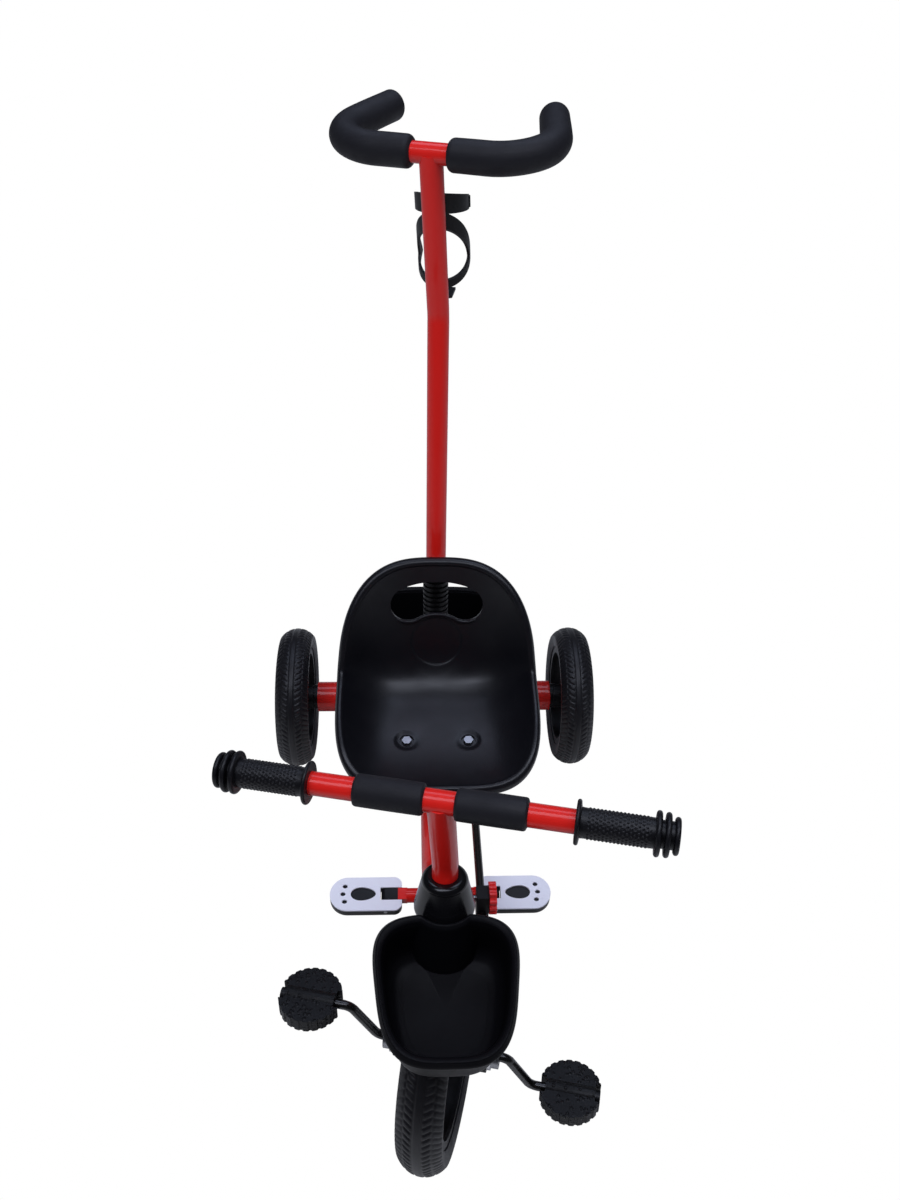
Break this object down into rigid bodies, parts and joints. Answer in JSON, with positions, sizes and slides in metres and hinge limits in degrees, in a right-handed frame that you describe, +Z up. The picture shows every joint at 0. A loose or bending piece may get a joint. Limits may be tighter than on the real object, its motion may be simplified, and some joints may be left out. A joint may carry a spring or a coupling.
{
  "type": "toddler push-along trike",
  "caption": "Toddler trike with a red tubular frame, moulded wheels, hub pedals, bucket seat, baskets and a parent push bar that steers the fork through a link rod.",
  "frame": {"origin": "on the ground under the middle of the trike's overall box, with the fork and push bar turned to the right as in the picture", "axes": "+Z up, -Y forward along the direction of travel, +X to the side that is on the right in the picture"},
  "size_m": [0.45, 0.9358, 0.8368],
  "materials": {
    "red_paint": "gloss red powder coat",
    "chrome": "bright chrome plate",
    "zinc": "bright zinc plate",
    "silver_plate": "satin silver",
    "black_plastic": "fine moulded satin",
    "seat_plastic": "semi-gloss moulded",
    "tyre_black": "matte moulded tread",
    "grip_rubber": "soft matte",
    "foam": "matte closed-cell foam",
    "black_paint": "black powder coat",
    "red_plastic": "gloss moulded"
  },
  "bodies": {
    "frame": {"main_tube": "red_paint", "head_tube": "red_paint", "head_bushes": "black_plastic", "head_cover": "black_plastic", "rear_axle_tube": "red_paint", "axle_plugs": "black_plastic", "rear_axle": "zinc", "axle_caps": "zinc", "push_socket": "red_paint", "socket_bushes": "black_plastic", "seat_bracket": "red_paint", "seat_shell": "seat_plastic", "seat_bolts": "zinc", "footrest_tube": "red_paint", "footrest_pins": "zinc", "front_basket": "black_plastic", "front_basket_bracket": "red_paint", "basket_screws": "zinc", "rear_basket": "black_plastic", "rear_basket_bracket": "red_paint"},
    "steering": {"steerer": "zinc", "fork_crown": "chrome", "fork_leg_left": "chrome", "fork_leg_right": "chrome", "front_mudguard": "chrome", "steering_arm": "black_paint", "handlebar_stem": "red_paint", "handlebar": "red_paint", "handlebar_pad_left": "foam", "handlebar_pad_right": "foam", "grip_left": "grip_rubber", "grip_right": "grip_rubber", "hub_bushes": "zinc"},
    "front_wheel_body": {"front_tyre": "tyre_black", "front_wheel": "black_plastic", "crank_axle": "black_paint", "pedal_caps": "black_plastic"},
    "pedal_left_body": {"pedal_left": "black_plastic"},
    "pedal_right_body": {"pedal_right": "black_plastic"},
    "rear_wheel_left_body": {"rear_tyre_left": "tyre_black", "rear_wheel_left": "black_plastic"},
    "rear_wheel_right_body": {"rear_tyre_right": "tyre_black", "rear_wheel_right": "black_plastic"},
    "footrest_left_body": {"footrest_base_left": "black_plastic", "footrest_plate_left": "silver_plate"},
    "footrest_right_body": {"footrest_base_right": "black_plastic", "footrest_plate_right": "silver_plate"},
    "push_bar_body": {"push_bar_lower": "red_paint", "push_bar_upper": "red_paint", "push_handle": "red_paint", "push_grip_left": "foam", "push_grip_right": "foam", "push_sleeve": "black_plastic", "push_arm": "black_paint", "bottle_cage": "black_plastic"},
    "link_body": {"link_rod": "black_paint", "link_clamp": "black_plastic", "clamp_stud": "zinc"},
    "knob_body": {"lock_knob": "red_plastic"}
  },
  "joints": [
    {"name": "steer", "type": "hinge", "parent": "frame", "child": "steering", "pos_m": [0, -0.34525, 0.125], "axis": [0, 0.3007, 0.9537], "range_deg": [-15, 45]},
    {"name": "push_steer", "type": "hinge", "parent": "frame", "child": "push_bar_body", "pos_m": [0, 0.08564, 0], "axis": [0, 0.3007, 0.9537], "range_deg": [-15, 45]},
    {"name": "link_pivot", "type": "hinge", "parent": "steering", "child": "link_body", "pos_m": [0.04181, -0.31158, 0.26516], "axis": [0, 0.3007, 0.9537], "range_deg": [-45, 15]},
    {"name": "knob_turn", "type": "hinge", "parent": "link_body", "child": "knob_body", "pos_m": [0.04181, -0.24586, 0.26391], "axis": [1, 0, 0], "continuous": true},
    {"name": "front_spin", "type": "hinge", "parent": "steering", "child": "front_wheel_body", "pos_m": [0, -0.34525, 0.125], "axis": [0.9724, -0.2226, 0.0702], "continuous": true},
    {"name": "pedal_left_spin", "type": "hinge", "parent": "front_wheel_body", "child": "pedal_left_body", "pos_m": [-0.13966, -0.31028, 0.16993], "axis": [0.9724, -0.2226, 0.0702], "continuous": true},
    {"name": "pedal_right_spin", "type": "hinge", "parent": "front_wheel_body", "child": "pedal_right_body", "pos_m": [0.13966, -0.38022, 0.08007], "axis": [0.9724, -0.2226, 0.0702], "continuous": true},
    {"name": "rear_left_spin", "type": "hinge", "parent": "frame", "child": "rear_wheel_left_body", "pos_m": [-0.1935, 0.15675, 0.0975], "axis": [1, 0, 0], "continuous": true},
    {"name": "rear_right_spin", "type": "hinge", "parent": "frame", "child": "rear_wheel_right_body", "pos_m": [0.1935, 0.15675, 0.0975], "axis": [1, 0, 0], "continuous": true},
    {"name": "footrest_left_fold", "type": "hinge", "parent": "frame", "child": "footrest_left_body", "pos_m": [-0.061, -0.20736, 0.1987], "axis": [0, 1, 0], "range_deg": [0, 88]},
    {"name": "footrest_right_fold", "type": "hinge", "parent": "frame", "child": "footrest_right_body", "pos_m": [0.061, -0.20736, 0.1987], "axis": [0, -1, 0], "range_deg": [0, 88]}
  ],
  "couplings": [
    {"joint": "push_steer", "follows": "steer", "ratio": 1},
    {"joint": "link_pivot", "follows": "steer", "ratio": -1}
  ]
}
